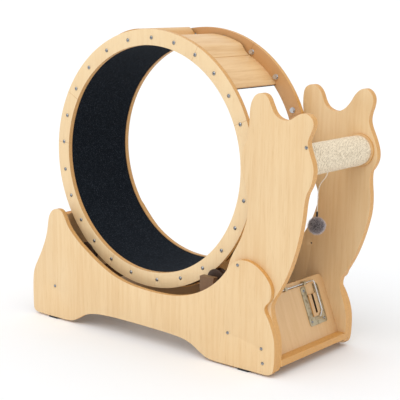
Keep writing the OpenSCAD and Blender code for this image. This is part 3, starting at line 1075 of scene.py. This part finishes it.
@dataclass
class ScratchPost(Assembly):
    """The post between the heads with its woven sisal cover."""

    radius: float = 0.0441
    bore: float = 0.0402
    half: float = 0.161
    rows: int = 96
    turned_in: float = 0.0014
    swell: float = 0.00018
    sink: float = 0.0003
    collar_corner: float = 0.001

    def build(self) -> None:
        """Dress the core and its collars, and make the cover."""
        wood = Plywood(
            "post_wood", grain=CROSS_GRAIN,
            light=(0.72, 0.47, 0.23), dark=(0.58, 0.34, 0.15),
        ).build()
        self.paint(wood, "post_core")
        self.eased("post_collars", "post_wood", wood, self.collar_corner)
        self.cover()

    def cover(self) -> None:
        """Wrap the sisal: a slightly uneven sleeve with a turned end at each collar."""
        mesh = bmesh.new()
        rows = self.rows
        half = self.half
        verts = [mesh.verts.new((self.bore, -half, 0))]
        for step in range(rows + 1):
            across = -half + 2 * half * step / rows
            turned = self.turned_in * (abs(across) / half) ** 40
            verts.append(mesh.verts.new((self.radius - turned, across, 0)))
        verts.append(mesh.verts.new((self.bore, half, 0)))
        edges = [mesh.edges.new((a, b)) for a, b in zip(verts, verts[1:] + verts[:1])]
        bmesh.ops.spin(
            mesh, geom=verts + edges, cent=(0, 0, 0), axis=(0, 1, 0),
            angle=2 * math.pi, steps=rows, use_duplicate=False, use_merge=True,
        )
        bmesh.ops.remove_doubles(mesh, verts=mesh.verts, dist=MERGE)
        bmesh.ops.recalc_face_normals(mesh, faces=mesh.faces)
        layer = mesh.loops.layers.uv.new("weave")
        for face in mesh.faces:
            middle = face.calc_center_median()
            home = math.atan2(middle.z, middle.x)
            for loop in face.loops:
                spot = loop.vert.co
                turn = math.atan2(spot.z, spot.x)
                turn += 2 * math.pi * round((home - turn) / (2 * math.pi))
                loop[layer].uv = (spot.y, turn * self.radius)
        for vert in mesh.verts:
            out = Vector((vert.co.x, 0, vert.co.z))
            if out.length > self.radius - 0.002:
                turn = math.atan2(vert.co.z, vert.co.x)
                waves = math.sin(5 * turn + vert.co.y * 60)
                waves += math.sin(3 * turn - vert.co.y * 95)
                vert.co += out.normalized() * (waves * self.swell - self.sink)
        bmesh.ops.translate(mesh, vec=POST, verts=mesh.verts)
        piece = finished("sisal_sleeve", mesh, Sisal().build(), 60.0)
        self.note(piece, "sisal", "sisal_cover")


@dataclass
class LeverLock(Assembly):
    """The latch on the sloped end board and its wire lever."""

    plate_corner: float = 0.0004
    corner: float = 0.0005

    def build(self) -> None:
        """Dress the latch frame, its tongue, the keepers and the wire."""
        zinc = Steel(
            "tarnished_zinc", colour=(0.52, 0.45, 0.31), stain_and_dark_reflection=(0.24, 0.19, 0.11),
            stain_and_reflection_share=0.85, roughness=0.38, scale=70.0,
        ).build()
        wire = Steel("bright_wire", colour=(0.72, 0.72, 0.72), roughness=0.2).build()
        # The tongue's wood also carries the painted shade of the slot's walls.
        wood = Plywood(
            "tongue_wood", layers=Layers.BOARD, grain=tuple(BOARD_UP), ply=0.0012,
            shades_slot=True,
            light=(0.74, 0.50, 0.26), dark=(0.60, 0.36, 0.17),
        ).build()
        self.eased("latch_frame", "latch_steel", zinc, self.plate_corner)
        self.eased("latch_tongue", "board_wood", wood, self.corner)
        self.eased("lever_keepers", "latch_steel", zinc, self.corner)
        self.body = "lever"
        self.paint(wire, "lock_lever")


@dataclass
class HangingToy(Assembly):
    """The fur ball on its string."""

    body: str = "toy"
    side: float = -0.042
    string: float = 0.002
    ball: float = 0.052
    smoothing: int = 4
    seed: int = 7
    # the fur: its core, where tufts start and how long they are, in radii of the ball
    core: float = 0.72
    roots: tuple[float, float] = (0.62, 0.70)
    lengths: tuple[float, float] = (0.26, 0.40)
    tangle: float = 0.32
    tufts: int = 2600
    tuft_root: float = 0.00085
    tuft_tip: float = 0.00012
    # the string's route from the post's axis, across and up, as in the CAD source
    route: tuple[tuple[float, float], ...] = (
        (0.0295, -0.035), (0.026, -0.045), (0.018, -0.057), (0.009, -0.068),
        (0.003, -0.082), (0.0005, -0.098), (0.0, -0.115), (0.0, -0.164),
    )

    def line(self) -> list[Vector]:
        """Smooth the route.

        Returns:
            The points that the string follows.
        """
        places = [POST + Vector((x, self.side, z)) for x, z in self.route]
        points = []
        for i in range(len(places) - 1):
            a, b, c = places[max(i - 1, 0)], places[i], places[i + 1]
            d = places[min(i + 2, len(places) - 1)]
            for k in range(self.smoothing):
                t = k / self.smoothing
                points.append(
                    0.5 * (2 * b + (c - a) * t + (2 * a - 5 * b + 4 * c - d) * t * t
                           + (3 * b - a - 3 * c + d) * t * t * t)
                )
        return points + [places[-1]]

    def build(self) -> None:
        """Make the string and the ball, and dress the crimp."""
        plastic = Moulding("crimp_plastic", (0.01, 0.01, 0.01), 0.35).build()
        self.paint(plastic, "toy_crimp")
        ball = self.fur_ball()
        points = self.line()
        data = bpy.data.curves.new("toy_cord", "CURVE")
        data.dimensions = "3D"
        data.bevel_depth = self.string / 2
        data.bevel_resolution = 3
        data.use_fill_caps = True
        spline = data.splines.new("POLY")
        spline.points.add(len(points) - 1)
        for spot, point in zip(spline.points, points):
            spot.co = (*point, 1.0)
        spline.use_smooth = True
        cord = bpy.data.objects.new("toy_cord", data)
        bpy.context.scene.collection.objects.link(cord)
        wear(cord, Yarn().build())
        self.note(cord, "string", "toy_string")
        length = sum((b - a).length for a, b in zip(points, points[1:]))

    def fur_ball(self) -> bpy.types.Object:
        """Cover a small core with tapering tufts of fur.

        Returns:
            The ball.
        """
        draw = random.Random(self.seed)
        drop = self.route[-1][1] - self.ball / 2
        centre = POST + Vector((0, self.side, drop))
        radius = self.ball / 2
        mesh = bmesh.new()
        bmesh.ops.create_icosphere(mesh, subdivisions=4, radius=radius * self.core)
        for i in range(self.tufts):
            up = 1 - 2 * (i + 0.5) / self.tufts
            turn = i * math.pi * (3 - math.sqrt(5))
            flat = math.sqrt(1 - up * up)
            way = Vector((math.cos(turn) * flat, math.sin(turn) * flat, up))
            lean = way + Vector([draw.gauss(0, self.tangle) for _ in range(3)])
            lean.normalize()
            length = radius * draw.uniform(*self.lengths)
            root = way * radius * draw.uniform(*self.roots)
            spin = lean.to_track_quat("Z", "Y").to_matrix().to_4x4()
            place = Matrix.Translation(root + lean * length / 2) @ spin
            bmesh.ops.create_cone(
                mesh, cap_ends=False, segments=3,
                radius1=self.tuft_root, radius2=self.tuft_tip,
                depth=length, matrix=place,
            )
        bmesh.ops.translate(mesh, vec=centre, verts=mesh.verts)
        fur = Fur(
            centre=tuple(centre), inner=radius * 0.66, outer=radius * 1.02
        ).build()
        piece = finished("fur_pompom", mesh, fur, 70.0)
        self.note(piece, "fur", "fur_ball")
        return piece


@dataclass
class Studio:
    """The white floor, the lights and the camera."""

    camera_at: tuple[float, float, float] = (2.042, -2.544, 1.034)
    pitch: float = 76.18
    yaw: float = 41.89
    lens: float = 96.34
    shift: tuple[float, float] = (0.15, 0.15)
    room: float = 0.88
    key_from: tuple[float, float, float] = (0.06, -0.66, 0.75)
    key_strength: float = 1.0
    key_width: float = 50.0
    floor_half: float = 300.0
    floor_white: Colour = (0.94, 0.95, 0.965)

    def build(self) -> None:
        """Set up the studio."""
        bpy.context.scene.view_settings.view_transform = "Standard"
        self.floor()
        self.world()
        self.key()
        self.camera()
        LOG.info("studio ready")

    def camera(self) -> None:
        """Set up the camera at the photograph's view."""
        data = bpy.data.cameras.new("camera")
        data.lens = self.lens
        data.sensor_width = 36.0
        data.shift_x, data.shift_y = self.shift
        camera = bpy.data.objects.new("camera", data)
        camera.location = self.camera_at
        camera.rotation_euler = (math.radians(self.pitch), 0, math.radians(self.yaw))
        bpy.context.scene.collection.objects.link(camera)
        bpy.context.scene.camera = camera

    def floor(self) -> None:
        """Lay the pale floor."""
        mesh = bmesh.new()
        bmesh.ops.create_grid(mesh, x_segments=1, y_segments=1, size=self.floor_half)
        graph = Graph("studio_floor")
        white = graph.surface(
            Base_Color=self.floor_white, Roughness=0.9, Specular_IOR_Level=0.1
        )
        finished("floor", mesh, white)

    def world(self) -> None:
        """Fill the room with even white light."""
        world = bpy.data.worlds.new("studio")
        world.use_nodes = True
        sky = world.node_tree.nodes["Background"]
        sky.inputs["Color"].default_value = (1.0, 1.0, 1.0, 1.0)
        sky.inputs["Strength"].default_value = self.room
        bpy.context.scene.world = world

    def key(self) -> None:
        """Hang the broad key light, a sun that lights the whole floor evenly."""
        data = bpy.data.lights.new("key_light", "SUN")
        data.angle = math.radians(self.key_width)
        data.energy = self.key_strength
        towards = Vector(self.key_from)
        lamp = bpy.data.objects.new("key_light", data)
        lamp.location = towards * 4.0
        lamp.rotation_euler = towards.to_track_quat("Z", "Y").to_euler()
        bpy.context.scene.collection.objects.link(lamp)


def main() -> None:
    """Dress the wheel and set up its studio."""
    logging.basicConfig(level=logging.INFO, format="%(name)s: %(message)s")
    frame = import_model()
    Studio().build()
    for part in (
        SideFrames(frame), RunningWheel(frame), Fasteners(frame), Rollers(frame),
        ScratchPost(frame), LeverLock(frame), HangingToy(frame),
    ):
        part.build()
        LOG.info("%s: %d pieces", type(part).__name__, len(part.made))


if __name__ == "__main__":
    main()
